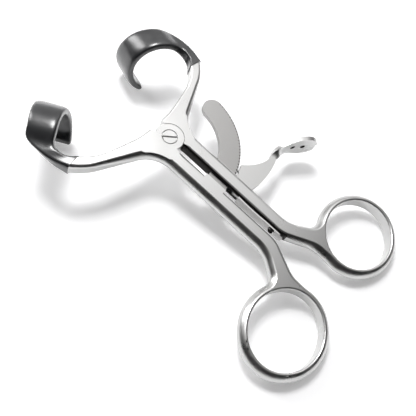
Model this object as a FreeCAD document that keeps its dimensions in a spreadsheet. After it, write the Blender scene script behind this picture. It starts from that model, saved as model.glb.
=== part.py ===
"""Mouth gag: two hinged levers, hooked jaws in rubber sleeves, ratchet bar and spring-loaded pawl lever.

The frame: millimetres, origin on the hinge axis at the top of the joint screw, +X forward to the jaws,
+Y to the side of the left lever, +Z up. Both levers lie between the top face at 0 and the bottom face
at minus lever_thickness, and are drawn with the handles squeezed together and the jaws wide open.
"""
import FreeCAD, Part
import math
import os
from FreeCAD import Placement, Rotation, Vector

SIZES = [
    # levers
    ("lever_thickness", 5.5, "thickness of both levers from top face to bottom face"),
    ("disc_radius", 5.5, "half-thick disc of each lever at the lap joint"),
    ("running_clearance", 0.04, "play between faces that turn on each other"),
    ("shank_gap", 3.3, "gap between the two shanks, handles squeezed"),
    ("shank_outer", 8.05, "outer edge of a shank from the middle plane"),
    ("edge_round", 1.3, "rounding along the shank and round the finger ring"),
    ("arm_edge_round", 0.9, "rounding along the front edge of the arm"),
    ("shoulder_angle", 27.2, "direction of the shoulder that faces the other lever"),
    ("shoulder_reach", 7.75, "hinge axis to the corner of the shoulder"),
    ("elbow_x", -1.4, "corner where the outer edge of the shank turns into the arm"),
    ("elbow_radius", 11.0, "bend of that corner"),
    ("outer_bend_x", 10.2, "corner of the arm's outer edge"),
    ("outer_bend_y", 30.4, "corner of the arm's outer edge"),
    ("outer_bend_radius", 25.0, "bend of that corner"),
    ("inner_bend_x", 11.4, "corner of the arm's front edge"),
    ("inner_bend_y", 25.3, "corner of the arm's front edge"),
    ("inner_bend_radius", 20.0, "bend of that corner"),
    ("shoulder_bend_x", 7.1, "corner of the front edge above the shoulder"),
    ("shoulder_bend_y", 8.5, "corner of the front edge above the shoulder"),
    ("shoulder_bend_radius", 25.0, "bend of that corner"),
    ("arm_end_x", 15.1, "middle of the arm where the sleeve starts"),
    ("arm_end_y", 32.2, "middle of the arm where the sleeve starts"),
    ("arm_end_heading", 98.6, "direction across the arm where the sleeve starts"),
    ("arm_width", 5.4, "width of the arm where the sleeve starts"),
    # finger rings
    ("finger_ring_x", 74.2, "ring centre behind the hinge axis"),
    ("finger_ring_y", 24.2, "ring centre from the middle plane"),
    ("finger_hole_x", 12.9, "half length of the finger hole along the shank"),
    ("finger_hole_y", 14.6, "half length of the finger hole across the shank"),
    ("finger_hole_end", 11.5, "radius of the hole's tighter ends"),
    ("finger_ring_band", 2.9, "width of the ring's band"),
    ("finger_hole_round", 0.6, "rounding of the hole's edges"),
    ("flare_start", 52.2, "corner where the shank's outer edge turns to the ring"),
    ("flare_radius", 12.0, "bend of that corner"),
    ("crotch_radius", 4.0, "hollow between the flare and the ring"),
    ("web_start", 52.5, "corner where the shank's inner edge turns to the ring"),
    ("web_end", 64.8, "corner where that edge runs out along the ring"),
    ("web_radius", 12.0, "bend of both corners"),
    ("web_fade", 0.25, "how far that edge runs above the ring's lowest point"),
    # joint screw
    ("screw_head_radius", 2.8, "head of the joint screw"),
    ("screw_head_height", 1.2, "depth of the flush head"),
    ("screw_shank_radius", 1.9, "joint screw below its head"),
    ("rim_chamfer", 0.22, "broken edge of the screw head and of its seat"),
    ("driver_slot_width", 0.7, "slot in the screw head"),
    ("driver_slot_depth", 0.8, "slot in the screw head"),
    ("driver_slot_angle", 44.0, "direction of the slot"),
    # hooked jaws
    ("hook_radius", 11.5, "radius of the hook's curve at the middle of its wall"),
    ("hook_centre_x", 25.8, "centre of the hook's curve"),
    ("hook_centre_y", 25.8, "centre of the hook's curve"),
    ("hook_centre_drop", 10.4, "centre of the hook's curve below the top face"),
    ("hook_azimuth", 32.0, "heading of the axis that the hook curls about"),
    ("hook_dip", 11.0, "downward tilt of that axis"),
    ("rule_azimuth", 23.8, "heading of the straight lines across the hook"),
    ("rule_dip", 13.7, "downward tilt of those lines"),
    ("hook_start", 57.0, "where along the curl the hook proper begins"),
    ("hook_end", 240.0, "where along the curl the lip ends"),
    ("hook_width", 9.8, "width of the hook where it begins"),
    ("lip_width", 13.8, "width of the hook at its lip"),
    ("sleeve_wall", 3.0, "thickness of the covered hook"),
    ("sleeve_round", 1.1, "rounding of the sleeve's edges"),
    ("core_cover", 0.9, "rubber over the steel core"),
    ("core_end", 1.5, "rubber past the end of the steel core"),
    ("core_root", 1.5, "steel core inside the arm"),
    ("sleeve_proud", 0.35, "how far the sleeve stands above the arm"),
    # ratchet bar
    ("bar_inner_radius", 19.2, "inner edge of the ratchet bar"),
    ("bar_outer_radius", 27.4, "tips of the teeth"),
    ("bar_thickness", 2.0, "thickness of the ratchet bar"),
    ("bar_root_angle", 166.0, "where the bar ends inside the left shank"),
    ("bar_seat_angle", 182.0, "where the bar's seat in the left shank ends"),
    ("bar_free_angle", 274.0, "free end of the bar"),
    ("tooth_pitch", 2.7, "angle from tooth to tooth"),
    ("tooth_depth", 0.75, "depth of a tooth gap"),
    ("tooth_count", 29, "tooth gaps cut along the bar"),
    ("first_gap_angle", 188.2, "steep face of the first tooth gap"),
    ("gap_share", 0.8, "width of a tooth gap, in tooth pitches"),
    ("root_block_margin", 0.4, "raised block on the left shank past the bar, front and rear"),
    ("root_block_proud", 0.9, "how far the block stands into the gap"),
    ("rivet_radius", 0.8, "rivets through the bar's root"),
    ("rivet_y", 4.3, "rivets from the middle plane"),
    ("rivet_inset", 1.9, "rivets from the edges of the bar"),
    # release lever
    ("pin_offset", 3.6, "pin of the release lever behind the tips of the teeth"),
    ("pin_y", 4.2, "pin of the release lever from the middle plane"),
    ("pin_radius", 0.9, "pin of the release lever"),
    ("pawl_eye_radius", 2.3, "round of the release lever about its pin"),
    ("pawl_gap", 0.8, "body of the release lever from the tips of the teeth"),
    ("nose_travel", 4.8, "turn of the release lever that drops its nose into a tooth gap"),
    ("nose_angle", 203.0, "direction of the nose from the hinge axis"),
    ("slot_margin", 6.5, "slot through the right shank behind the pin"),
    ("slot_clearance", 0.06, "slot to bar and lever, above and below"),
    ("dimple_radius", 1.0, "round dimples in the thumb pad"),
    ("dimple_depth", 0.4, "depth of those dimples"),
    # leaf spring
    ("spring_thickness", 0.5, "thickness of the leaf spring"),
    ("spring_height", 4.0, "height of the leaf spring"),
    ("spring_lead", 1.6, "free end of the spring behind the pin"),
    ("spring_length", 21.4, "length of the leaf spring"),
    ("spring_bow", 0.22, "how far the spring bows off the straight"),
    ("spring_seat", 0.2, "play of the spring on the shank and under its screw"),
    ("spring_screw_inset", 5.0, "spring screw from the spring's fixed end"),
    ("spring_screw_radius", 0.8, "shank of the spring screw"),
    ("spring_screw_head", 1.5, "radius of the round screw head"),
    ("spring_screw_dome", 0.9, "height of the round screw head"),
    ("spring_screw_depth", 4.5, "length of the screw in the shank"),
]

doc = FreeCAD.newDocument("mouth_gag")
sheet = doc.addObject("Spreadsheet::Sheet", "Sizes")
for row, (alias, number, note) in enumerate(SIZES, start=1):
    sheet.set("A%d" % row, alias)
    sheet.set("B%d" % row, str(number))
    sheet.set("C%d" % row, note)
    sheet.setAlias("B%d" % row, alias)
doc.recompute()


def size(alias):
    """A driving dimension from the sheet."""
    return float(getattr(sheet, alias))


def polar(radius, degrees, z=0.0):
    """A point by its distance and direction from the hinge axis."""
    turn = math.radians(degrees)
    return Vector(radius * math.cos(turn), radius * math.sin(turn), z)


def heading(azimuth, dip):
    """A unit vector by its heading in plan and its downward tilt."""
    turn, fall = math.radians(azimuth), math.radians(dip)
    return Vector(math.cos(fall) * math.cos(turn), math.cos(fall) * math.sin(turn), -math.sin(fall))


def cubic(points):
    """A smooth edge through points."""
    line = Part.BSplineCurve()
    line.interpolate(points)
    return line.toShape()


def feature(label, shape):
    """A worked-out shape as an object of the document."""
    thing = doc.addObject("Part::Feature", label)
    thing.Label = label
    thing.Shape = shape
    thing.Placement = Placement(Vector(0, 0, 0), Rotation())
    return thing


def primitive(kind, label, sizes, place=(), turn=None):
    """A primitive solid with its sizes and its place bound to the sheet."""
    thing = doc.addObject(kind, label)
    thing.Label = label
    if turn:
        thing.Placement = Placement(Vector(0, 0, 0), turn)
    for prop, formula in sizes.items():
        thing.setExpression(prop, formula)
    for axis, formula in zip("xyz", place):
        thing.setExpression("Placement.Base.%s" % axis, formula)
    return thing


def cylinder(label, radius, height, place, turn=None):
    """An upright cylinder from its lower end, or along the way that it is turned."""
    return primitive("Part::Cylinder", label, {"Radius": radius, "Height": height}, place, turn)


def joined(kind, label, shapes):
    """Several objects as one: fused, common or grouped."""
    thing = doc.addObject(kind, label)
    thing.Label = label
    if kind == "Part::Compound":
        thing.Links = shapes
    else:
        thing.Shapes = shapes
    return thing


def cut(label, base, tool):
    """One solid less another."""
    thing = doc.addObject("Part::Cut", label)
    thing.Label = label
    thing.Base = base
    thing.Tool = tool
    return thing


# The levels and lines that pieces share, in numbers for worked-out shapes and as formulas for bound ones
THICK = size("lever_thickness")
PLAY = size("running_clearance")
LAP = -THICK / 2
INNER = size("shank_gap") / 2
OUTER = size("shank_outer")
BAR_TOP = LAP + size("bar_thickness") / 2
BAR_BOTTOM = LAP - size("bar_thickness") / 2
PIN = Vector(-size("bar_outer_radius") - size("pin_offset"), -size("pin_y"), 0)
SPRING_TIP = PIN.x - size("spring_lead")
SPRING_END = SPRING_TIP - size("spring_length")
SCREW_X = SPRING_END + size("spring_screw_inset")
UPRIGHT = Vector(0, 0, 1)
LAP_F = "-Sizes.lever_thickness / 2"
PIN_X_F = "-Sizes.bar_outer_radius - Sizes.pin_offset"
BAR_BOTTOM_F = "-Sizes.lever_thickness / 2 - Sizes.bar_thickness / 2"
SCREW_X_F = "%s - Sizes.spring_lead - Sizes.spring_length + Sizes.spring_screw_inset" % PIN_X_F
SPRING_FAR_F = "-Sizes.shank_gap / 2 + Sizes.spring_seat * 2 + Sizes.spring_thickness"
TO_Y = Rotation(Vector(1, 0, 0), -90)


def mirrored(shape):
    """The same shape on the other side of the middle plane."""
    return shape.mirror(Vector(0, 0, 0), Vector(0, 1, 0))


def slab(edges, bottom, top):
    """A flat solid between two levels from the edges of its outline at level 0."""
    face = Part.Face(Part.Wire(Part.sortEdges(edges)[0]))
    face.translate(UPRIGHT * bottom)
    return face.extrude(UPRIGHT * (top - bottom))


def polygon_slab(corners, bottom, top):
    """A flat solid between two levels from the corners of its outline at level 0."""
    return slab(Part.makePolygon(corners + corners[:1]).Edges, bottom, top)


def rounded_outline(corners):
    """Edges of a closed outline of straight runs, with a tangent arc of its own radius at each corner."""
    turns = []
    for number, (corner, radius) in enumerate(corners):
        back = (corners[number - 1][0] - corner).normalize()
        ahead = (corners[(number + 1) % len(corners)][0] - corner).normalize()
        half = back.getAngle(ahead) / 2
        middle = (back + ahead).normalize()
        reach = radius / math.tan(half)
        turns.append((corner + back * reach, corner + middle * (radius / math.sin(half) - radius),
                      corner + ahead * reach, radius))
    edges = []
    for number, (first, bend, last, radius) in enumerate(turns):
        if radius:
            edges.append(Part.Arc(first, bend, last).toShape())
        edges.append(Part.LineSegment(last, turns[(number + 1) % len(turns)][0]).toShape())
    return edges


def oval_slab(margin):
    """The finger hole's oval of four tangent arcs, widened all round by a margin, through the lever."""
    wide, tall = size("finger_hole_x") + margin, size("finger_hole_y") + margin
    tight = size("finger_hole_end") + margin
    loose = (tall ** 2 + wide ** 2 - 2 * tall * tight) / (2 * (wide - tight))
    centre = Vector(-size("finger_ring_x"), size("finger_ring_y"), 0)
    lean = Vector(loose - wide, tall - tight, 0).normalize()
    joint = Vector(0, tall - tight, 0) + lean * tight
    edges = []
    for x, y in ((1, 1), (-1, 1), (-1, -1), (1, -1)):
        here, side = Vector(x * joint.x, y * joint.y, 0), Vector(x * wide, 0, 0)
        far = Vector(-y * joint.x, x * joint.y, 0) if x * y > 0 else Vector(x * joint.x, -y * joint.y, 0)
        if x * y > 0:
            far = Vector(-x * joint.x, y * joint.y, 0)
            edges.append(Part.Arc(centre + here, centre + Vector(0, y * tall, 0), centre + far).toShape())
        else:
            edges.append(Part.Arc(centre + here, centre + side, centre + far).toShape())
    return slab(edges, -THICK, 0)


def lever_outline():
    """Corners and bends of the lever on the +Y side, from the arm's end round to it again."""
    arm = Vector(size("arm_end_x"), size("arm_end_y"), 0)
    across = heading(size("arm_end_heading"), 0) * (size("arm_width") / 2)
    ring = Vector(-size("finger_ring_x"), size("finger_ring_y"), 0)
    low = ring.y - size("finger_hole_y") - size("finger_ring_band") + size("web_fade")
    crotch = -math.sqrt(size("disc_radius") ** 2 - INNER ** 2) + 0.5
    return [
        (arm + across, 0),
        (Vector(size("outer_bend_x"), size("outer_bend_y"), 0), size("outer_bend_radius")),
        (Vector(size("elbow_x"), OUTER, 0), size("elbow_radius")),
        (Vector(-size("flare_start"), OUTER, 0), size("flare_radius")),
        (ring, 0),
        (Vector(ring.x, low, 0), 0),
        (Vector(-size("web_end"), low, 0), size("web_radius")),
        (Vector(-size("web_start"), INNER, 0), size("web_radius")),
        (Vector(crotch, INNER, 0), 0),
        (Vector(0, 0, 0), 0),
        (polar(size("shoulder_reach"), size("shoulder_angle")), 0),
        (Vector(size("shoulder_bend_x"), size("shoulder_bend_y"), 0), size("shoulder_bend_radius")),
        (Vector(size("inner_bend_x"), size("inner_bend_y"), 0), size("inner_bend_radius")),
        (arm - across, 0),
    ]


def upright_edge(solid, x, y):
    """The upright edge of a solid that stands nearest to a place."""
    uprights = [edge for edge in solid.Edges if edge.BoundBox.XLength + edge.BoundBox.YLength < 0.001]
    return min(uprights, key=lambda edge: math.hypot(edge.BoundBox.Center.x - x, edge.BoundBox.Center.y - y))


def flat_pair(solid, x, y):
    """The edges of the top and bottom faces whose middles lie nearest to a place."""
    def distance(edge):
        middle = edge.valueAt((edge.FirstParameter + edge.LastParameter) / 2)
        return math.hypot(middle.x - x, middle.y - y)
    flat = [edge for edge in solid.Edges if edge.BoundBox.ZLength < 0.001]
    return [min((edge for edge in flat if abs(edge.BoundBox.ZMax - level) < 0.001), key=distance)
            for level in (0, -THICK)]


def lever_blank():
    """Shank, arm and finger ring in one piece with rounded edges, without the lap joint."""
    ring_x, ring_y = -size("finger_ring_x"), size("finger_ring_y")
    band = size("finger_ring_band")
    solid = slab(rounded_outline(lever_outline()), -THICK, 0).fuse(oval_slab(band)).removeSplitter()
    flare = Vector(-size("flare_start"), OUTER, 0) - Vector(ring_x, ring_y, 0)
    reach = 1 / math.hypot(flare.x / (size("finger_hole_x") + band), flare.y / (size("finger_hole_y") + band))
    solid = solid.makeFillet(size("crotch_radius"),
                             [upright_edge(solid, ring_x + flare.x * reach, ring_y + flare.y * reach)])
    solid = solid.makeFillet(size("web_radius"),
                             [upright_edge(solid, ring_x + band, ring_y - size("finger_hole_y") - band)])
    # each rounding runs on along the edges that are tangent to the one named
    solid = solid.makeFillet(size("edge_round"), flat_pair(solid, -size("flare_start") / 2, OUTER))
    solid = solid.makeFillet(size("arm_edge_round"),
                             flat_pair(solid, size("shoulder_bend_x"), size("shoulder_bend_y")))
    solid = solid.cut(oval_slab(0))
    return solid.makeFillet(size("finger_hole_round"), flat_pair(solid, ring_x + size("finger_hole_x"), ring_y))


def hook_controls():
    """Middle, half width and half thickness vectors of the covered hook, from the arm to the lip."""
    axis = heading(size("hook_azimuth"), size("hook_dip"))
    rise = (UPRIGHT - axis * axis.z).normalize()
    side = rise.cross(axis)
    rule = heading(size("rule_azimuth"), size("rule_dip"))
    centre = Vector(size("hook_centre_x"), size("hook_centre_y"), -size("hook_centre_drop"))
    wall = size("sleeve_wall") / 2
    steps = 9
    hook = []
    for step in range(steps):
        share = step / (steps - 1)
        turn = math.radians(size("hook_start") + share * (size("hook_end") - size("hook_start")))
        out = side * math.cos(turn) + rise * math.sin(turn)
        half = rule * ((size("hook_width") + (size("lip_width") - size("hook_width")) * share) / 2)
        thick = (out - rule * out.dot(rule)).normalize()
        hook.append((centre + out * size("hook_radius") + half, half, thick * wall))
    # the throat turns from the arm's upright section to the hook's flat one
    proud = size("sleeve_proud")
    arm = (Vector(size("arm_end_x"), size("arm_end_y"), LAP),
           heading(size("arm_end_heading"), 0) * (size("arm_width") / 2 + proud), UPRIGHT * (THICK / 2 + proud))
    throat = [arm]
    for share, lift in ((0.36, Vector(-1.0, 1.2, 0)), (0.68, Vector(-0.9, 1.3, 0.1))):
        middle, half, thick = [a * (1 - share) + b * share for a, b in zip(arm, hook[0])]
        throat.append((middle + lift, half, thick))
    return throat + hook


def hook_sections():
    """The controls of the hook with two more sections between each pair, by a cubic through four of them."""
    controls = hook_controls()
    last = len(controls) - 1
    sections = []
    for number in range(last):
        four = [controls[min(max(number + step, 0), last)] for step in (-1, 0, 1, 2)]
        for t in (0, 1 / 3, 2 / 3):
            weights = (-t / 2 + t ** 2 - t ** 3 / 2, 1 - 2.5 * t ** 2 + 1.5 * t ** 3,
                       t / 2 + 2 * t ** 2 - 1.5 * t ** 3, -t ** 2 / 2 + t ** 3 / 2)
            sections.append(tuple(sum((one[item] * weight for one, weight in zip(four, weights)), Vector())
                                  for item in range(3)))
    return sections + [controls[-1]]


def section_wire(middle, half, thick, inset):
    """The core's plain rectangle where it is inset, or else the sleeve's rectangle with rounded corners."""
    wide, deep = half.Length - inset, thick.Length - inset
    across, up = Vector(half).normalize(), Vector(thick).normalize()
    corners = [middle + across * (wide * a) + up * (deep * b) for a, b in ((1, 1), (-1, 1), (-1, -1), (1, -1))]
    if inset:
        return Part.makePolygon(corners + corners[:1])
    return Part.Wire(rounded_outline([(corner, size("sleeve_round")) for corner in corners]))


def hook_loft(inset, shorten, back):
    """The hook as a solid, inset all round, cut short at the lip and run back into the arm."""
    sections = hook_sections()
    lip, before = sections[-1], sections[-2]
    along = (lip[0] - before[0]).normalize()
    while shorten > (lip[0] - sections[-2][0]).Length - 0.3:
        sections.pop(-2)
    sections[-1] = (lip[0] - along * shorten, lip[1], lip[2])
    wires = [section_wire(middle, half, thick, inset) for middle, half, thick in sections]
    if back > 0:
        middle, half, thick = sections[0]
        inward = heading(size("arm_end_heading") + 135, 0)
        wires.insert(0, section_wire(middle + inward * back, half, thick, inset))
    return Part.makeLoft(wires, True, True)


def core_shape():
    """The steel core of the hook, from inside the arm to short of the lip."""
    return hook_loft(size("core_cover"), size("core_end"), size("core_root"))


def sleeve_shape():
    """The rubber sleeve with the hollow that the steel core fills."""
    return hook_loft(0, 0, 0).cut(core_shape())


def lever_shape(top_disc):
    """One lever on the +Y side: blank, half of the lap joint and steel core of the hook."""
    disc = size("disc_radius")
    half = THICK / 2 - PLAY / 2
    own_base = LAP + PLAY / 2 if top_disc else -THICK
    other_base = -THICK - 1 if top_disc else LAP - PLAY / 2
    own = Part.makeCylinder(disc, half, Vector(0, 0, own_base))
    rim = [edge for edge in own.Edges if edge.BoundBox.ZLength < 0.001
           and abs(edge.BoundBox.ZMax - (0 if top_disc else -THICK)) < 0.001]
    own = own.makeChamfer(size("rim_chamfer"), rim)
    other = Part.makeCylinder(disc + PLAY, half + PLAY + 1, Vector(0, 0, other_base))
    return lever_blank().cut(other).fuse(own).fuse(core_shape())


def ring_sector(inner, outer, start, end, bottom, top):
    """A flat sector of a ring about the hinge axis."""
    tall = top - bottom
    outside = Part.makeCylinder(outer, tall, Vector(0, 0, bottom), UPRIGHT, end - start)
    outside.rotate(Vector(0, 0, 0), UPRIGHT, start)
    return outside.cut(Part.makeCylinder(inner, tall, Vector(0, 0, bottom)))


def rivet_holes(label, count_from=1):
    """The two rivets through the root of the bar, or the holes that they fill."""
    places = ("-Sizes.bar_inner_radius - Sizes.rivet_inset", "-Sizes.bar_outer_radius + Sizes.rivet_inset")
    return [cylinder("%s_%d" % (label, number), "Sizes.rivet_radius", "Sizes.lever_thickness",
                     (place, "Sizes.rivet_y", "-Sizes.lever_thickness"))
            for number, place in enumerate(places, start=count_from)]


def left_lever():
    """Upper lever at the lap joint: bore and chamfered seat of the joint screw, root block and its rivets."""
    blank = feature("left_blank", lever_shape(True))
    block = primitive("Part::Box", "root_block", {
        "Length": "Sizes.bar_outer_radius - Sizes.bar_inner_radius + 2 * Sizes.root_block_margin",
        "Width": "Sizes.root_block_proud + Sizes.edge_round",
        "Height": "Sizes.lever_thickness",
    }, ("-Sizes.bar_outer_radius - Sizes.root_block_margin", "Sizes.shank_gap / 2 - Sizes.root_block_proud",
        "-Sizes.lever_thickness"))
    bore = cylinder("screw_bore", "Sizes.screw_shank_radius + Sizes.running_clearance", "Sizes.lever_thickness",
                    ("0", "0", "-Sizes.lever_thickness"))
    seat = cylinder("screw_seat", "Sizes.screw_head_radius + Sizes.running_clearance", "Sizes.lever_thickness",
                    ("0", "0", "-Sizes.screw_head_height - Sizes.running_clearance"))
    rim = primitive("Part::Cone", "seat_rim", {
        "Radius1": "Sizes.screw_head_radius",
        "Radius2": "Sizes.screw_head_radius + 2 * Sizes.rim_chamfer",
        "Height": "2 * Sizes.rim_chamfer",
    }, ("0", "0", "-Sizes.rim_chamfer"))
    root = feature("bar_seat", ring_sector(size("bar_inner_radius"), size("bar_outer_radius"),
                                           size("bar_root_angle"), size("bar_seat_angle"), BAR_BOTTOM, BAR_TOP))
    tools = joined("Part::MultiFuse", "left_cuts", [bore, seat, rim, root] + rivet_holes("root_hole"))
    return cut("left_lever", joined("Part::MultiFuse", "left_with_block", [blank, block]), tools)


def right_lever():
    """Lower lever at the lap joint: slot for the bar and the release lever, pin and screw holes."""
    blank = feature("right_blank", mirrored(lever_shape(False)))
    bore = cylinder("threaded_bore", "Sizes.screw_shank_radius", "Sizes.lever_thickness",
                    ("0", "0", "-Sizes.lever_thickness"))
    box = primitive("Part::Box", "slot_box", {
        "Length": "Sizes.bar_outer_radius + Sizes.pin_offset + Sizes.slot_margin - Sizes.disc_radius",
        "Width": "Sizes.shank_outer - Sizes.shank_gap / 2 + 6",
        "Height": "Sizes.bar_thickness + 2 * Sizes.slot_clearance",
    }, (PIN_X_F + " - Sizes.slot_margin", "-Sizes.shank_outer - 3", BAR_BOTTOM_F + " - Sizes.slot_clearance"))
    front = cylinder("slot_front", "Sizes.bar_inner_radius - 0.1", "Sizes.lever_thickness",
                     ("0", "0", "-Sizes.lever_thickness"))
    slot = cut("bar_slot", box, front)
    pin = cylinder("pin_hole", "Sizes.pin_radius", "Sizes.lever_thickness",
                   (PIN_X_F, "-Sizes.pin_y", "-Sizes.lever_thickness"))
    tools = joined("Part::MultiFuse", "right_cuts", [bore, slot, pin, screw_in_shank("spring_screw_hole", "0")])
    return cut("right_lever", blank, tools)


def joint_screw():
    """Flush slotted screw with a broken rim, threaded into the lower lever."""
    shank = cylinder("screw_shank", "Sizes.screw_shank_radius", "Sizes.lever_thickness",
                     ("0", "0", "-Sizes.lever_thickness"))
    head = cylinder("screw_head", "Sizes.screw_head_radius", "Sizes.screw_head_height - Sizes.rim_chamfer",
                    ("0", "0", "-Sizes.screw_head_height"))
    rim = primitive("Part::Cone", "screw_rim", {
        "Radius1": "Sizes.screw_head_radius",
        "Radius2": "Sizes.screw_head_radius - Sizes.rim_chamfer",
        "Height": "Sizes.rim_chamfer",
    }, ("0", "0", "-Sizes.rim_chamfer"))
    along, over = "(Sizes.screw_head_radius + 0.5)", "Sizes.driver_slot_width / 2"
    turn = "Sizes.driver_slot_angle"
    slot = primitive("Part::Box", "driver_slot", {
        "Length": "2 * Sizes.screw_head_radius + 1",
        "Width": "Sizes.driver_slot_width",
        "Height": "Sizes.driver_slot_depth",
    }, ("-%s * cos(%s) + %s * sin(%s)" % (along, turn, over, turn),
        "-%s * sin(%s) - %s * cos(%s)" % (along, turn, over, turn), "-Sizes.driver_slot_depth"),
        Rotation(UPRIGHT, size("driver_slot_angle")))
    return cut("joint_screw", joined("Part::MultiFuse", "screw_blank", [shank, head, rim]), slot)


def ratchet_bar():
    """Toothed bar bent about the hinge axis, with saw teeth on its outer edge."""
    inner, outer = size("bar_inner_radius"), size("bar_outer_radius")
    middle = (inner + outer) / 2
    free = size("bar_free_angle") - math.degrees((outer - inner) / 2 / middle)
    plain = ring_sector(inner, outer, size("bar_root_angle"), free, BAR_BOTTOM, BAR_TOP)
    plain = plain.fuse(Part.makeCylinder((outer - inner) / 2, BAR_TOP - BAR_BOTTOM,
                                         polar(middle, free, BAR_BOTTOM)))
    past = outer + size("tooth_depth") / 2
    gaps = []
    for number in range(int(size("tooth_count"))):
        steep = size("first_gap_angle") + number * size("tooth_pitch")
        gentle = steep - size("gap_share") * size("tooth_pitch")
        corners = [polar(past, steep), polar(outer - size("tooth_depth"), steep), polar(outer, gentle),
                   polar(past, gentle)]
        gaps.append(polygon_slab(corners, BAR_BOTTOM - 0.5, BAR_TOP + 0.5))
    toothed = feature("toothed_bar", plain.cut(gaps).removeSplitter())
    return cut("ratchet_bar", toothed, joined("Part::MultiFuse", "bar_holes", rivet_holes("bar_hole")))


def ratchet_rivets():
    """Two flush rivets as a group."""
    return joined("Part::Compound", "ratchet_rivets", rivet_holes("rivet"))


def engaged_gap():
    """Direction of the steep face of the gap that the nose drops into."""
    gaps = round((size("nose_angle") - size("first_gap_angle")) / size("tooth_pitch"))
    return size("first_gap_angle") + gaps * size("tooth_pitch")


def release_lever():
    """Flat pawl plate on its pin, with tail and nose, that necks and twists into an upright thumb pad."""
    edge = size("bar_outer_radius") + size("pawl_gap")
    eye = size("pawl_eye_radius")
    start, foot = polar(edge, 190), polar(edge, 207)
    neck_front, neck_rear = PIN + Vector(0.4, -21.5, 0), PIN + Vector(-2.0, -21.2, 0)
    heel = PIN + Vector(-eye - 1.3, -5.8, 0)
    rear = PIN + Vector(-eye, 0, 0)
    crest = PIN + Vector(-0.5, eye * 0.97, 0)
    brow = PIN + Vector(eye * 0.95, 0.7, 0)
    edges = [
        Part.Arc(start, polar(edge, 198), foot).toShape(),
        cubic([foot, PIN + Vector(3.3, -11.4, 0), PIN + Vector(0.8, -16.0, 0), neck_front]),
        Part.LineSegment(neck_front, neck_rear).toShape(),
        cubic([neck_rear, PIN + Vector(-3.6, -14.3, 0), heel]),
        Part.LineSegment(heel, rear).toShape(),
        Part.Arc(rear, crest, brow).toShape(),
        Part.LineSegment(brow, start).toShape(),
    ]
    tail_tip = Vector(SPRING_TIP - 1.0, -INNER + 0.15, 0)
    tail = [PIN + Vector(0, 1.9, 0), tail_tip, tail_tip + Vector(-0.5, -0.3, 0), tail_tip + Vector(-0.4, -1.1, 0),
            rear + Vector(0, -0.6, 0)]
    solid = slab(edges, BAR_BOTTOM, BAR_TOP).fuse(polygon_slab(tail, BAR_BOTTOM, BAR_TOP))
    solid = solid.fuse(pawl_nose()).fuse(thumb_pad()).removeSplitter()
    plate = feature("pawl_plate", solid)
    eye_hole = cylinder("pawl_hole", "Sizes.pin_radius + Sizes.running_clearance", "Sizes.lever_thickness",
                        (PIN_X_F, "-Sizes.pin_y", "-Sizes.lever_thickness"))
    return cut("release_lever", plate, eye_hole)


def pawl_nose():
    """The wedge that drops into a tooth gap, turned back about the pin to where it clears the teeth."""
    outer = size("bar_outer_radius")
    steep = engaged_gap() - 0.4
    tip = outer - size("tooth_depth") + 0.25
    corners = [polar(tip, steep), polar(outer + 1.6, steep), polar(outer + 1.6, steep - 2.2),
               polar(outer + 0.25, steep - 0.75 * size("tooth_pitch"))]
    nose = polygon_slab(corners, BAR_BOTTOM, BAR_TOP)
    nose.rotate(PIN, UPRIGHT, -size("nose_travel"))
    return nose


def thumb_pad():
    """Neck and pad: a flat section carried along a bend while it turns upright and widens, with two dimples."""
    shape = [(-0.8, -20.8, 0, 1.25, 1.0), (-0.4, -24.4, 40, 1.5, 0.9), (-0.9, -27.8, 78, 2.6, 0.8),
             (-2.6, -31.6, 90, 4.4, 0.8), (-5.2, -35.2, 90, 5.2, 0.8), (-7.4, -37.8, 90, 4.4, 0.8),
             (-8.8, -39.2, 90, 2.4, 0.8)]
    middles = [PIN + Vector(x, y, LAP) for x, y, twist, wide, thick in shape]
    wires, normals = [], []
    for number, (x, y, twist, wide, thick) in enumerate(shape):
        middle = middles[number]
        along = (middles[min(number + 1, len(shape) - 1)] - middles[max(number - 1, 0)]).normalize()
        level = UPRIGHT.cross(along).normalize()
        turn = math.radians(twist)
        across = level * math.cos(turn) + UPRIGHT * math.sin(turn)
        up = along.cross(across).normalize()
        normals.append(up)
        corners = [middle + across * (wide * a) + up * (thick * b)
                   for a, b in ((1, 1), (-1, 1), (-1, -1), (1, -1))]
        wires.append(Part.makePolygon(corners + corners[:1]))
    pad = Part.makeLoft(wires, True, False)
    for number in (3, 4):
        out = normals[number] if normals[number].x < 0 else normals[number] * -1
        foot = middles[number] + out * (shape[number][4] - size("dimple_depth"))
        pad = pad.cut(Part.makeCylinder(size("dimple_radius"), 2, foot, out))
    return pad


def release_lever_pin():
    """Flush pin through the right shank that the release lever turns on."""
    return cylinder("release_lever_pin", "Sizes.pin_radius", "Sizes.lever_thickness",
                    (PIN_X_F, "-Sizes.pin_y", "-Sizes.lever_thickness"))


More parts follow.
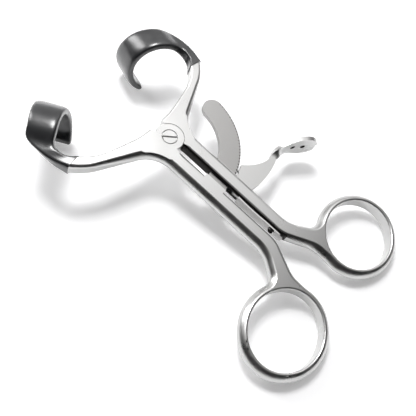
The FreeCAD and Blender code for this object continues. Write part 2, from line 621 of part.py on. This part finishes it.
def leaf_spring():
    """Leaf along the right shank's inner face: round fixed end under its screw, bowed free end on the tail."""
    near = -INNER + size("spring_seat")
    far = near + size("spring_thickness")
    bow = Vector(0, size("spring_bow"), 0)
    low, high = LAP - size("spring_height") / 2, LAP + size("spring_height") / 2
    bend = SCREW_X + 3.5
    middle = (bend + SPRING_TIP) / 2
    inner = cubic([Vector(bend, near, 0), Vector(middle, near, 0) + bow, Vector(SPRING_TIP, near, 0)])
    outer = cubic([Vector(bend, far, 0), Vector(middle, far, 0) + bow, Vector(SPRING_TIP, far, 0)])
    lines = [(Vector(SPRING_TIP, near, 0), Vector(SPRING_TIP, far, 0)),
             (Vector(bend, far, 0), Vector(SPRING_END, far, 0)),
             (Vector(SPRING_END, far, 0), Vector(SPRING_END, near, 0)),
             (Vector(SPRING_END, near, 0), Vector(bend, near, 0))]
    solid = slab([inner, outer] + [Part.LineSegment(a, b).toShape() for a, b in lines], low, high)
    ends = [edge for edge in solid.Edges if edge.BoundBox.ZLength < 0.001
            and abs(edge.BoundBox.Center.x - SPRING_END) < 0.001]
    leaf = feature("leaf", solid.makeFillet(size("spring_height") * 0.45, ends))
    return cut("leaf_spring", leaf, screw_in_shank("leaf_hole", "Sizes.spring_seat / 2"))


def screw_in_shank(label, extra):
    """The spring screw below its head, along Y, or the hole for it with some play."""
    return cylinder(label, "Sizes.spring_screw_radius + %s" % extra,
                    "Sizes.spring_screw_depth + Sizes.spring_seat * 2 + Sizes.spring_thickness",
                    (SCREW_X_F, "-Sizes.shank_gap / 2 - Sizes.spring_screw_depth", LAP_F), TO_Y)


def spring_screw():
    """Round-headed screw that holds the leaf spring."""
    radius = "((Sizes.spring_screw_head ^ 2 + Sizes.spring_screw_dome ^ 2) / (2 * Sizes.spring_screw_dome))"
    ball = primitive("Part::Sphere", "screw_ball", {"Radius": radius},
                     (SCREW_X_F, "%s + Sizes.spring_screw_dome - %s" % (SPRING_FAR_F, radius), LAP_F))
    rim = cylinder("dome_room", "Sizes.spring_screw_head + 1", "Sizes.spring_screw_dome + 1",
                   (SCREW_X_F, SPRING_FAR_F, LAP_F), TO_Y)
    dome = joined("Part::MultiCommon", "screw_dome", [ball, rim])
    return joined("Part::MultiFuse", "spring_screw", [dome, screw_in_shank("spring_screw_shank", "0")])


left_lever()
right_lever()
joint_screw()
feature("left_jaw_sleeve", sleeve_shape())
feature("right_jaw_sleeve", mirrored(sleeve_shape()))
ratchet_bar()
ratchet_rivets()
release_lever()
release_lever_pin()
leaf_spring()
spring_screw()
doc.recompute()

NODES = ["left_lever", "right_lever", "joint_screw", "left_jaw_sleeve", "right_jaw_sleeve", "ratchet_bar",
         "ratchet_rivets", "release_lever", "release_lever_pin", "leaf_spring", "spring_screw"]
for thing in doc.Objects:
    if {"Invalid", "Error"} & set(thing.State):
        raise RuntimeError("%s failed" % thing.Label)
os.makedirs("parts", exist_ok=True)
for label in NODES:
    shape = doc.getObject(label).Shape
    if shape.isNull() or not shape.isValid():
        raise RuntimeError("%s did not build" % label)
    print("%-20s solids %d  volume %.1f  faces %d" % (label, len(shape.Solids), shape.Volume, len(shape.Faces)))
for label in NODES:
    doc.getObject(label).Shape.exportStep("parts/%s.step" % label)
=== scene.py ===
"""Looks of the mouth gag: satin and polished stainless steel, dipped jaw sleeves, floor, light and camera."""
import math

import bmesh
import bpy
import numpy as np
from mathutils import Matrix, Vector


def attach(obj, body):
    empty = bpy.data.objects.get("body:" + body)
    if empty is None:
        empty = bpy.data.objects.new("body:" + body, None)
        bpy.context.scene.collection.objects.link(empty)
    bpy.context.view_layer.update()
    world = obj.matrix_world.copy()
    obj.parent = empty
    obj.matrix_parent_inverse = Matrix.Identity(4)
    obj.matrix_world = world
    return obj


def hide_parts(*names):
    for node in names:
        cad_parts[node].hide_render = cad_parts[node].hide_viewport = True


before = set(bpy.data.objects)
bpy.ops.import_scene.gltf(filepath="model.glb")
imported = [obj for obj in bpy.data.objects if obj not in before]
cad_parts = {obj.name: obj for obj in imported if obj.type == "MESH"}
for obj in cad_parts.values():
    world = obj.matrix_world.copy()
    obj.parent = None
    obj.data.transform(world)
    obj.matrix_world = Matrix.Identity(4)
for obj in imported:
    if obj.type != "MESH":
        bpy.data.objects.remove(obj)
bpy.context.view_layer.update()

MM = 0.001
LEFT, RIGHT = "left_half", "right_half"


def linear(code):
    """An sRGB hex colour as a linear colour with full alpha."""
    parts = [int(code[at:at + 2], 16) / 255 for at in (1, 3, 5)]
    return tuple(v / 12.92 if v <= 0.04045 else ((v + 0.055) / 1.055) ** 2.4 for v in parts) + (1.0,)


def linked(name, data):
    """A new object of the scene that holds the given data."""
    made = bpy.data.objects.new(name, data)
    bpy.context.scene.collection.objects.link(made)
    return made


# Materials. Noise cells and bump depths are in millimetres.

# What the noise mostly ranges over
NOISE_LOW, NOISE_HIGH = 0.3, 0.7
# Cells of the slow drift in the steel's roughness
CLOUD = 9.0
# Cells and depths of the rubber's slow ripple and of its fine skin
RIPPLE, RIPPLE_DEPTH = 4.0, 0.12
SKIN, SKIN_DEPTH = 0.5, 0.004


def new_material(name):
    """An empty node material with its node tree."""
    material = bpy.data.materials.new(name)
    material.use_nodes = True
    material.node_tree.nodes.clear()
    return material, material.node_tree


def add(tree, kind, settings=None, values=None, links=None):
    """One node: its settings, the values of its sockets and what feeds them."""
    node = tree.nodes.new(kind)
    for key, value in (settings or {}).items():
        setattr(node, key, value)
    for key, value in (values or {}).items():
        node.inputs[key].default_value = value
    for key, source in (links or {}).items():
        tree.links.new(source, node.inputs[key])
    return node


def close_material(tree, shader):
    """The material output fed by a shader."""
    add(tree, "ShaderNodeOutputMaterial", links={"Surface": shader.outputs[0]})


def grain_of(tree, grain_mm, detail=2.0):
    """Noise on Object coordinates whose cells measure grain_mm."""
    place = add(tree, "ShaderNodeTexCoord")
    return add(tree, "ShaderNodeTexNoise", values={"Scale": 1 / (grain_mm * MM), "Detail": detail},
               links={"Vector": place.outputs["Object"]})


def spread(tree, noise, low, high):
    """A noise spread over a range of values."""
    return add(tree, "ShaderNodeMapRange",
               values={"From Min": NOISE_LOW, "From Max": NOISE_HIGH, "To Min": low, "To Max": high},
               links={"Value": noise.outputs["Fac"]})


def bump_of(tree, noise, depth_mm, under=None):
    """Bump of a noise, depth_mm deep, laid over another bump where one is given."""
    links = {"Height": noise.outputs["Fac"]}
    if under is not None:
        links["Normal"] = under.outputs[0]
    return add(tree, "ShaderNodeBump", values={"Strength": 1.0, "Distance": depth_mm * MM}, links=links)


def steel(name, colour, low, high, grain_mm, depth_mm):
    """Stainless steel: a metal whose roughness drifts slowly and whose fine bump is its finish's grain."""
    material, tree = new_material(name)
    bump = bump_of(tree, grain_of(tree, grain_mm), depth_mm)
    rough = spread(tree, grain_of(tree, CLOUD), low, high)
    shader = add(tree, "ShaderNodeBsdfPrincipled", values={"Base Color": linear(colour), "Metallic": 1.0},
                 links={"Roughness": rough.outputs[0], "Normal": bump.outputs[0]})
    close_material(tree, shader)
    return material


def dipped_rubber():
    """Dark grey dipped vinyl rubber: smooth gloss with a faint, slow ripple left by dipping."""
    material, tree = new_material("dipped_rubber")
    ripple = grain_of(tree, RIPPLE, detail=1.0)
    # of the mix node's many sockets, 6 and 7 are its two colours, and output 2 is the mixed one
    colour = add(tree, "ShaderNodeMix", {"data_type": "RGBA"}, {6: linear("#1d1e20"), 7: linear("#292a2c")},
                 {"Factor": ripple.outputs["Fac"]})
    rough = spread(tree, ripple, 0.3, 0.38)
    slow = bump_of(tree, ripple, RIPPLE_DEPTH)
    fine = bump_of(tree, grain_of(tree, SKIN), SKIN_DEPTH, under=slow)
    shader = add(tree, "ShaderNodeBsdfPrincipled",
                 values={"IOR": 1.5, "Coat Weight": 0.8, "Coat Roughness": 0.22},
                 links={"Base Color": colour.outputs[2], "Roughness": rough.outputs[0],
                        "Normal": fine.outputs[0]})
    close_material(tree, shader)
    return material


# Satin-finished stainless: bead-blasted then lightly buffed, so its glare is broad and its grain very fine
SATIN = steel("satin_stainless", "#d1d1d0", 0.26, 0.34, 0.35, 0.004)
# The same steel, rougher and with a darker base colour, on the flat of the ratchet bar
GROUND = steel("ground_stainless", "#a8a7a6", 0.42, 0.5, 0.35, 0.004)
# Painted shade: a dark steel laid on the tooth gaps, on the shanks' facing sides and in the thumb pad's
# dimples, where shade falls
PAINTED_SHADE = steel("painted_shade_steel", "#3c3a39", 0.5, 0.6, 0.3, 0.006)
# Polished stainless of spring and spring screw: small sharp highlights
POLISHED = steel("polished_stainless", "#d6d5d4", 0.1, 0.16, 0.5, 0.001)
RUBBER = dipped_rubber()


def heading(azimuth, dip):
    """A unit vector by its heading in plan and its downward tilt, in degrees."""
    turn, fall = math.radians(azimuth), math.radians(dip)
    return np.array([math.cos(fall) * math.cos(turn), math.cos(fall) * math.sin(turn), -math.sin(fall)])


# Sizes of the pieces, in millimetres and degrees

# Points closer than SAME_POINT are joined, and so are faces that bend by less than SAME_PLANE
SAME_POINT, SAME_PLANE = 0.002, 0.2
FACE_WEIGHT = 90
# Edges that bend by more than this stay sharp
CREASE, PAWL_CREASE, SLEEVE_CREASE, GAP_SHADE_CREASE = 32, 24, 50, 30
# Heights and distances closer than LEVEL count as the same
LEVEL = 0.01

# Lever: its thickness, the CAD's edge rounding, and the fuller side's depth, reach inward and bevel
THICK = 5.5
EDGE_ROUND, SIDE_ROUND, SIDE_INWARD, SIDE_BEVEL = 1.3, 2.65, 2.15, 0.3
# How far a point may lie from the rounding and still belong to it: in millimetres, and as a share
ON_ROUND, ROUND_SHARE = 0.004, 0.06
# The finger hole's middle, and how far out the sides reach that face the other lever, rear and front of it
RING_X = -74.2
INNER_REAR, INNER_FRONT = 5.5, 7.5
# The fuller side grows from INNER_FROM rearward on the inner side, and dies out before the arm's end
INNER_FROM, INNER_RUN = -56.0, 11.0
OUTER_FULL, OUTER_RUN = -20, 20.0

# Sleeve: where it leaves the arm, with the rubber's margin round the arm's section
ARM_MARGIN = 0.35
ARM_END = np.array([15.1, 32.2, -THICK / 2])
ARM_HALF = 5.4 / 2 + ARM_MARGIN
ARM_ACROSS = 98.6
# Throat between arm and hook: shares of the way, and what is added to the straight line there
THROAT = (0.36, (-1.0, 1.2, 0)), (0.68, (-0.9, 1.3, 0.1))
# Hook: an arc about an axis, its width along RULE growing towards the lip
HOOK_CENTRE = np.array([25.8, 25.8, -10.4])
HOOK_RADIUS = 11.5
HOOK_AXIS = heading(32.0, 11.0)
RULE = heading(23.8, 13.7)
HOOK_START, HOOK_END, HOOK_STATIONS = 57.0, 240.0, 9
HOOK_WIDTH, LIP_WIDTH = 9.8, 13.8
WALL = 3.0
# Section: a superellipse whose power falls towards the lip, and how the last rings draw in to the lip
SLEEVE_RINGS, SLEEVE_SIDES = 150, 72
POWER_START, POWER_END = 4.6, 4.2
LIP_RINGS, LIP_LEAST, LIP_NARROWING = 6.0, 0.02, 0.14

# Ratchet bar: radius of the tooth tips, depth of the gaps, and the dark sheet of painted shade laid in them
TOOTH_TIPS, TOOTH_DEPTH = 27.4, 0.75
TEETH_FROM, TEETH_TO, TEETH_STATIONS = 185.6, 264.2, 160
GAP_SHADE_HEIGHTS = -3.6, -1.9
SHADE_PAST_ROOTS, SHADE_SHORT_OF_TIPS = 0.6, 0.06
# Gap between the shanks, and the thumb pad's two dimples, where shade is painted
GAP_REAR, GAP_FRONT, GAP_HALF = -62.0, -8.0, 4.2
DIMPLES, DIMPLE_REACH = ((-34.1, -35.5, -2.75), (-36.7, -39.0, -2.75)), 1.04


# Pieces

def place_piece(piece, body, slot, material, *nodes):
    """A piece on its body, with its finish, standing for CAD nodes."""
    piece.data.materials.clear()
    piece.data.materials.append(material)
    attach(piece, body)
    if nodes:
        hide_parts(*nodes)


def shade(mesh, crease):
    """Soft shading with sharp edges above an angle."""
    mesh.shade_smooth()
    mesh.set_sharp_from_angle(angle=math.radians(crease))


def smooth_copy(node, name, body, slot, material, crease=CREASE, shape=None):
    """A CAD node's own shape with its facets joined, so that its curved faces shade as curves."""
    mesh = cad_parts[node].data.copy()
    mesh.name = name
    work = bmesh.new()
    work.from_mesh(mesh)
    bmesh.ops.remove_doubles(work, verts=work.verts, dist=SAME_POINT * MM)
    if shape:
        work.to_mesh(mesh)
        shape(mesh)
        work.clear()
        work.from_mesh(mesh)
    bmesh.ops.dissolve_limit(work, angle_limit=math.radians(SAME_PLANE), verts=work.verts, edges=work.edges)
    work.to_mesh(mesh)
    work.free()
    shade(mesh, crease)
    piece = linked(name, mesh)
    weighted = piece.modifiers.new("face weights", "WEIGHTED_NORMAL")
    weighted.keep_sharp = True
    weighted.weight = FACE_WEIGHT
    place_piece(piece, body, slot, material, node)
    return piece


def unit(rows):
    """Each row at length one."""
    return rows / np.linalg.norm(rows, axis=-1, keepdims=True)


def smooth(share):
    """A soft step from zero to one."""
    share = np.clip(share, 0, 1)
    return share * share * (3 - 2 * share)


def hook_stations():
    """Middle, half width and half thickness of the hook's section at stations from the arm to the lip.

    The hook proper is an arc of HOOK_RADIUS about HOOK_AXIS, widened along RULE; the throat before it
    blends from the arm's upright section."""
    rise = unit(np.array([0, 0, 1]) - HOOK_AXIS * HOOK_AXIS[2])
    side = unit(np.cross(rise, HOOK_AXIS))
    side = side * np.sign(side[1])
    share = np.linspace(0, 1, HOOK_STATIONS)[:, None]
    turn = np.radians(HOOK_START + share * (HOOK_END - HOOK_START))
    out = side * np.cos(turn) + rise * np.sin(turn)
    half = RULE * (HOOK_WIDTH + (LIP_WIDTH - HOOK_WIDTH) * share) / 2
    thick = unit(out - RULE * (out @ RULE)[:, None]) * WALL / 2
    middle = HOOK_CENTRE + out * HOOK_RADIUS + half
    across = heading(ARM_ACROSS, 0.0) * ARM_HALF
    upright = np.array([0, 0, THICK / 2 + ARM_MARGIN])
    rows = [(ARM_END, across, upright)]
    for blend, lift in THROAT:
        rows.append((ARM_END * (1 - blend) + middle[0] * blend + lift,
                     across * (1 - blend) + half[0] * blend, upright * (1 - blend) + thick[0] * blend))
    throat = [np.array(column) for column in zip(*rows)]
    return [np.vstack(pair) for pair in zip(throat, (middle, half, thick))]


def through(knots, count):
    """Rows of a smooth curve through knots: Catmull-Rom spans over evenly spaced parameters."""
    padded = np.vstack([2 * knots[0] - knots[1], knots, 2 * knots[-1] - knots[-2]])
    at = np.linspace(0, len(knots) - 1, count)
    first = np.minimum(at.astype(int), len(knots) - 2)
    part = (at - first)[:, None]
    a, b, c, d = (padded[first + step] for step in range(4))
    return 0.5 * (2 * b + (c - a) * part + (2 * a - 5 * b + 4 * c - d) * part ** 2
                  + (3 * b - a - 3 * c + d) * part ** 3)


def grid_mesh(name, points, crease, flip=False):
    """A closed skin from rings of points: quads between rings, a fan to a pole at each end."""
    rings, sides = points.shape[:2]
    poles = np.vstack([points[0].mean(0), points[-1].mean(0)])
    vertices = np.vstack([points.reshape(-1, 3), poles]) * MM
    ring, side = np.meshgrid(np.arange(rings - 1), np.arange(sides), indexing="ij")
    ring, side = ring.ravel(), side.ravel()
    after = (side + 1) % sides
    quads = np.stack([ring * sides + side, ring * sides + after,
                      (ring + 1) * sides + after, (ring + 1) * sides + side], 1)
    around = np.arange(sides)
    turned = (around + 1) % sides
    base = (rings - 1) * sides
    start = np.stack([turned, around, np.full(sides, rings * sides)], 1)
    end = np.stack([base + around, base + turned, np.full(sides, rings * sides + 1)], 1)
    faces = [list(face) for block in (quads, start, end) for face in (block[:, ::-1] if flip else block)]
    mesh = bpy.data.meshes.new(name)
    mesh.from_pydata(vertices.tolist(), [], faces)
    mesh.validate()
    shade(mesh, crease)
    return mesh


def sleeve_piece(name, sign, body, node):
    """The dipped sleeve: a rounded-oblong section carried along the hook, drawn in to a round lip.

    The section is the superellipse |u|^p + |v|^p = 1, with u along the half width and v along the half
    thickness. Over the last LIP_RINGS rings the thickness is drawn in by a quarter circle, and the width
    by LIP_NARROWING of it."""
    middle, half, thick = (through(knots, SLEEVE_RINGS) for knots in hook_stations())
    turn = np.linspace(0, 2 * np.pi, SLEEVE_SIDES, endpoint=False)
    power = np.linspace(POWER_START, POWER_END, SLEEVE_RINGS)[:, None]
    u = np.sign(np.cos(turn)) * np.abs(np.cos(turn)) ** (2 / power)
    v = np.sign(np.sin(turn)) * np.abs(np.sin(turn)) ** (2 / power)
    from_lip = (SLEEVE_RINGS - 1 - np.arange(SLEEVE_RINGS)) / LIP_RINGS
    circle = np.sqrt(np.clip(1 - (1 - from_lip) ** 2, LIP_LEAST, 1))
    draw = np.where(from_lip < 1, circle, 1)[:, None]
    points = (middle[:, None] + half[:, None] * (u * (1 - LIP_NARROWING + LIP_NARROWING * draw))[..., None]
              + thick[:, None] * (v * draw)[..., None])
    points[..., 1] *= sign
    piece = linked(name, grid_mesh(name, points, SLEEVE_CREASE, flip=sign < 0))
    place_piece(piece, body, "jaw_rubber", RUBBER, node)


def nearest_on(edges, points):
    """The distance to the nearest of a set of plan edges, and the place on it, for each point in plan."""
    first, run = edges[:, 0], edges[:, 1] - edges[:, 0]
    best, place = np.full(len(points), np.inf), np.zeros_like(points)
    for start, step in zip(first, run):
        share = np.clip((points - start) @ step / max(step @ step, 1e-12), 0, 1)
        here = start + share[:, None] * step
        gap = np.linalg.norm(points - here, axis=1)
        closer = gap < best
        best[closer], place[closer] = gap[closer], here[closer]
    return best, place


def fuller_sides(mesh, sign):
    """The outer sides of a lever brought from the CAD's small edge roundings to fuller ones.

    A point of a rounding at angle a lies EDGE_ROUND (1 - cos a) in from the side and
    EDGE_ROUND (1 - sin a) from the face. It goes to wide (1 - cos^p a) in and deep (1 - sin^p a) from the
    face, on a superellipse. Where fade is 0, wide and deep are EDGE_ROUND and p is 1, as in the CAD; where
    it is 1, they are SIDE_INWARD, SIDE_ROUND and 1 + SIDE_BEVEL. Fade is 1 round the ring and along the
    outer side; it falls to 0 along the shank's inner side and towards the arm's end. What lies on the
    side between the roundings moves in along a quarter ellipse."""
    flat = np.zeros(len(mesh.vertices) * 3)
    mesh.vertices.foreach_get("co", flat)
    points = flat.reshape(-1, 3) / MM
    points[:, 1] *= sign
    depth = np.minimum(-points[:, 2], points[:, 2] + THICK)
    # the level edges where a rounding meets the side, in plan
    rim = np.abs(depth - EDGE_ROUND) < ON_ROUND
    pairs = np.zeros(len(mesh.edges) * 2, int)
    mesh.edges.foreach_get("vertices", pairs)
    pairs = pairs.reshape(-1, 2)
    pairs = pairs[rim[pairs].all(1)]
    level = np.abs(points[pairs[:, 0], 2] - points[pairs[:, 1], 2]) < LEVEL
    gap, place = nearest_on(points[pairs][:, :, :2][level], points[:, :2])
    x, y = place[:, 0], place[:, 1]
    inner = (y < INNER_REAR) | ((y < INNER_FRONT) & (x > RING_X))
    outer = np.where(x < OUTER_FULL, 1.0, smooth((ARM_END[1] - y) / OUTER_RUN))
    fade = np.where(inner, smooth((INNER_FROM - x) / INNER_RUN), outer)
    deep = EDGE_ROUND + (SIDE_ROUND - EDGE_ROUND) * fade
    wide = EDGE_ROUND + (SIDE_INWARD - EDGE_ROUND) * fade
    power = 1 + SIDE_BEVEL * fade
    inward = (points[:, :2] - place) / np.maximum(gap, 1e-6)[:, None]
    # the roundings themselves
    sine = 1 - depth / EDGE_ROUND
    cosine = 1 - gap / EDGE_ROUND
    on_round = ((depth < EDGE_ROUND + ON_ROUND) & (gap < EDGE_ROUND + ON_ROUND)
                & (np.abs(sine ** 2 + cosine ** 2 - 1) < ROUND_SHARE))
    in_share = 1 - np.clip(cosine, 0, 1) ** power
    down_share = 1 - np.clip(sine, 0, 1) ** power
    new_depth = deep * down_share
    upper = points[:, 2] > -THICK / 2
    moved = points.copy()
    moved[on_round, :2] = (place + inward * (wide * in_share)[:, None])[on_round]
    moved[on_round, 2] = np.where(upper, -new_depth, new_depth - THICK)[on_round]
    # what lies on the side between the roundings, such as the mouth of the slot
    on_side = (gap < LEVEL) & (depth > EDGE_ROUND + ON_ROUND) & (depth < deep)
    sink = wide - wide * np.sqrt(np.clip(1 - (1 - depth / deep) ** 2, 0, 1))
    moved[on_side, 1] -= sink[on_side]
    moved[:, 1] *= sign
    mesh.vertices.foreach_set("co", (moved * MM).ravel())
    mesh.update()


def paint_shade(piece, chosen):
    """Painted shade on the chosen faces of a piece: the dark steel is given to them."""
    piece.data.materials.append(PAINTED_SHADE)
    for face in piece.data.polygons:
        if chosen(face.center / MM, face.normal):
            face.material_index = 1


def in_tooth_gap(middle, normal):
    """Upright faces between the roots and the tips of the teeth, which get painted shade."""
    radius = math.hypot(middle.x, middle.y)
    return abs(normal.z) < 0.3 and TOOTH_TIPS - TOOTH_DEPTH - 0.1 < radius < TOOTH_TIPS - LEVEL


def in_shank_gap(middle, normal):
    """Upright faces of the two shanks that look at each other, which get painted shade."""
    facing = abs(normal.z) < 0.8 and abs(normal.y) > 0.5
    return facing and GAP_REAR < middle.x < GAP_FRONT and abs(middle.y) < GAP_HALF


def in_dimple(middle, normal):
    """Faces inside the thumb pad's two dimples, which get painted shade."""
    return any(math.dist(middle, place) < DIMPLE_REACH for place in DIMPLES)


def tooth_gap_shade_sheet():
    """Painted shade for the tooth gaps: a dark sheet, a plain sector of a ring inside the bar, just below its
    top, so that only what lies in the gaps shows."""
    turn = np.radians(np.linspace(TEETH_FROM, TEETH_TO, TEETH_STATIONS))[:, None, None]
    inside, outside = TOOTH_TIPS - TOOTH_DEPTH - SHADE_PAST_ROOTS, TOOTH_TIPS - SHADE_SHORT_OF_TIPS
    low, high = GAP_SHADE_HEIGHTS
    radius = np.array([inside, outside, outside, inside])[None, :, None]
    height = np.array([low, low, high, high])[None, :, None]
    points = np.concatenate([radius * np.cos(turn), radius * np.sin(turn), height + 0 * turn], axis=2)
    piece = linked("tooth_gap_painted_shade", grid_mesh("tooth_gap_painted_shade", points, GAP_SHADE_CREASE, flip=True))
    place_piece(piece, LEFT, "satin_steel", PAINTED_SHADE)


# Painted shade: the dark steel on the shanks' facing sides, in the tooth gaps and in the thumb pad's dimples,
# and a dark sheet under the tooth gaps
for node, body, sign in (("left_lever", LEFT, 1), ("right_lever", RIGHT, -1)):
    lever = smooth_copy(node, node + "_finish", body, "satin_steel", SATIN,
                        shape=lambda mesh: fuller_sides(mesh, sign))
    paint_shade(lever, in_shank_gap)
paint_shade(smooth_copy("ratchet_bar", "ratchet_bar_finish", LEFT, "satin_steel", GROUND), in_tooth_gap)
tooth_gap_shade_sheet()
paint_shade(smooth_copy("release_lever", "release_lever_finish", "release", "satin_steel", SATIN, PAWL_CREASE),
       in_dimple)
for node, body, material in (("joint_screw", RIGHT, SATIN), ("ratchet_rivets", LEFT, SATIN),
                             ("release_lever_pin", RIGHT, SATIN), ("leaf_spring", "spring", POLISHED),
                             ("spring_screw", RIGHT, POLISHED)):
    smooth_copy(node, node + "_finish", body, "polished_steel", material)
sleeve_piece("left_sleeve_skin", 1, LEFT, "left_jaw_sleeve")
sleeve_piece("right_sleeve_skin", -1, RIGHT, "right_jaw_sleeve")


# Floor, light and camera

# Half the floor's side and how far below the tool it lies, in metres, and its own faint glow
FLOOR_REACH, FLOOR_GAP = 1.6, 0.0001
FLOOR_LIFT = 0.28
# The camera as a point to aim at on the tool's top plane, a distance, two angles and a roll
AIM = Vector((-27.68, 10.85, 0)) * MM
DISTANCE, AZIMUTH, ELEVATION, ROLL = 192.7 * MM, -171.79, 61.35, 35.37
LENS, SENSOR, CLIP_NEAR, CLIP_FAR = 48.41, 36.0, 0.01, 10
# The room's pale side, where its glow begins and is full along that direction, and its least and most
PALE_SIDE = 0.7, -0.5, 0.51
GLOW_FROM, GLOW_FULL, GLOW_LEAST, GLOW_MOST = 0.25, 0.9, 0.02, 0.68


def corners_of(node):
    """All points of a CAD node, in metres."""
    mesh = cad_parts[node].data
    flat = np.zeros(len(mesh.vertices) * 3)
    mesh.vertices.foreach_get("co", flat)
    return flat.reshape(-1, 3)


def floor_frame():
    """Where the tool stands: a plane through the rear of the rings' undersides and the jaws' lips."""
    lever, sleeve = corners_of("left_lever"), corners_of("left_jaw_sleeve")
    low = lever[lever[:, 2] < (LEVEL - THICK) * MM]
    rear = low[low[:, 0].argmin()]
    slopes = (sleeve[:, 2] - rear[2]) / (sleeve[:, 0] - rear[0])
    return rear, math.atan(slopes.min())


def seen_or_mirrored(tree):
    """One for rays from the camera and for those that metal mirrors or a clear solid lets through."""
    path = add(tree, "ShaderNodeLightPath")
    both = add(tree, "ShaderNodeMath", {"operation": "ADD"},
               links={0: path.outputs["Is Camera Ray"], 1: path.outputs["Is Glossy Ray"]})
    return add(tree, "ShaderNodeMath", {"operation": "ADD"},
               links={0: both.outputs[0], 1: path.outputs["Is Transmission Ray"]})


def pale_floor():
    """Matt white board, lifted to white where it is seen or mirrored, with its shadows kept."""
    material, tree = new_material("matt_white_board")
    board = add(tree, "ShaderNodeBsdfDiffuse", values={"Color": linear("#f4f4f5")})
    strength = add(tree, "ShaderNodeMath", {"operation": "MULTIPLY"}, {1: FLOOR_LIFT},
                   {0: seen_or_mirrored(tree).outputs[0]})
    lift = add(tree, "ShaderNodeEmission", values={"Color": (1, 1, 1, 1)},
               links={"Strength": strength.outputs[0]})
    close_material(tree, add(tree, "ShaderNodeAddShader", links={0: board.outputs[0], 1: lift.outputs[0]}))
    return material


def camera_axes():
    """Right, up and back of the camera."""
    turn, rise, roll = (math.radians(v) for v in (AZIMUTH, ELEVATION, ROLL))
    back = Vector((math.sin(turn) * math.cos(rise), -math.cos(turn) * math.cos(rise), math.sin(rise)))
    level = (-back).cross(Vector((0, 0, 1))).normalized()
    upright = level.cross(-back)
    right = level * math.cos(roll) + upright * math.sin(roll)
    up = -level * math.sin(roll) + upright * math.cos(roll)
    return right, up, back


def soft_light(name, place, width, height, watts, toward=(-20, 0, 0)):
    """A rectangular soft box at a place, facing a point of the tool, in millimetres."""
    lamp = bpy.data.lights.new(name, "AREA")
    lamp.shape, lamp.size, lamp.size_y, lamp.energy = "RECTANGLE", width * MM, height * MM, watts
    facing = (Vector(place) - Vector(toward)).normalized().to_track_quat("Z", "Y").to_matrix()
    light = linked(name, lamp)
    light.matrix_world = Matrix.Translation(Vector(place) * MM) @ facing.to_4x4()


def studio():
    """A dim room with one pale wall, so that the sides turned from it mirror the dark."""
    world = bpy.data.worlds.new("studio")
    bpy.context.scene.world = world
    world.use_nodes = True
    tree = world.node_tree
    tree.nodes.clear()
    place = add(tree, "ShaderNodeTexCoord")
    side = add(tree, "ShaderNodeVectorMath", {"operation": "DOT_PRODUCT"}, {1: PALE_SIDE},
               {0: place.outputs["Generated"]})
    glow = add(tree, "ShaderNodeMapRange", {"interpolation_type": "SMOOTHSTEP"},
               {"From Min": GLOW_FROM, "From Max": GLOW_FULL, "To Min": GLOW_LEAST, "To Max": GLOW_MOST},
               {"Value": side.outputs["Value"]})
    room = add(tree, "ShaderNodeBackground", values={"Color": linear("#f3f2f2")},
               links={"Strength": glow.outputs[0]})
    add(tree, "ShaderNodeOutputWorld", links={"Surface": room.outputs[0]})


rear, slope = floor_frame()
floor_mesh = bpy.data.meshes.new("floor")
corners = [(x * FLOOR_REACH, y * FLOOR_REACH, 0) for x, y in ((-1, -1), (1, -1), (1, 1), (-1, 1))]
floor_mesh.from_pydata(corners, [], [(0, 1, 2, 3)])
floor_mesh.transform(Matrix.Translation(Vector(rear) - Vector((0, rear[1], FLOOR_GAP)))
                     @ Matrix.Rotation(-slope, 4, "Y"))
floor_mesh.materials.append(pale_floor())
floor = linked("floor", floor_mesh)

right, up, back = camera_axes()
lens = bpy.data.cameras.new("camera")
lens.lens, lens.sensor_width = LENS, SENSOR
lens.clip_start, lens.clip_end = CLIP_NEAR, CLIP_FAR
camera = linked("camera", lens)
camera.matrix_world = (Matrix.Translation(AIM + back * DISTANCE)
                       @ Matrix((right, up, back)).transposed().to_4x4())
bpy.context.scene.camera = camera

# The main box stands high beyond the jaws and throws the shadows to the rear and left. The front box, wide
# and dim, stands where the flat tops mirror it to the camera. The low one before the jaws lights the sleeves.
soft_light("main", (305, -110, 495), 170, 170, 2.5)
soft_light("front", (120, -330, 410), 380, 480, 0.34)
soft_light("jaws", (470, 20, 150), 120, 240, 0.8, toward=(35, 0, -5))
studio()
bpy.context.scene.view_settings.view_transform = "Standard"
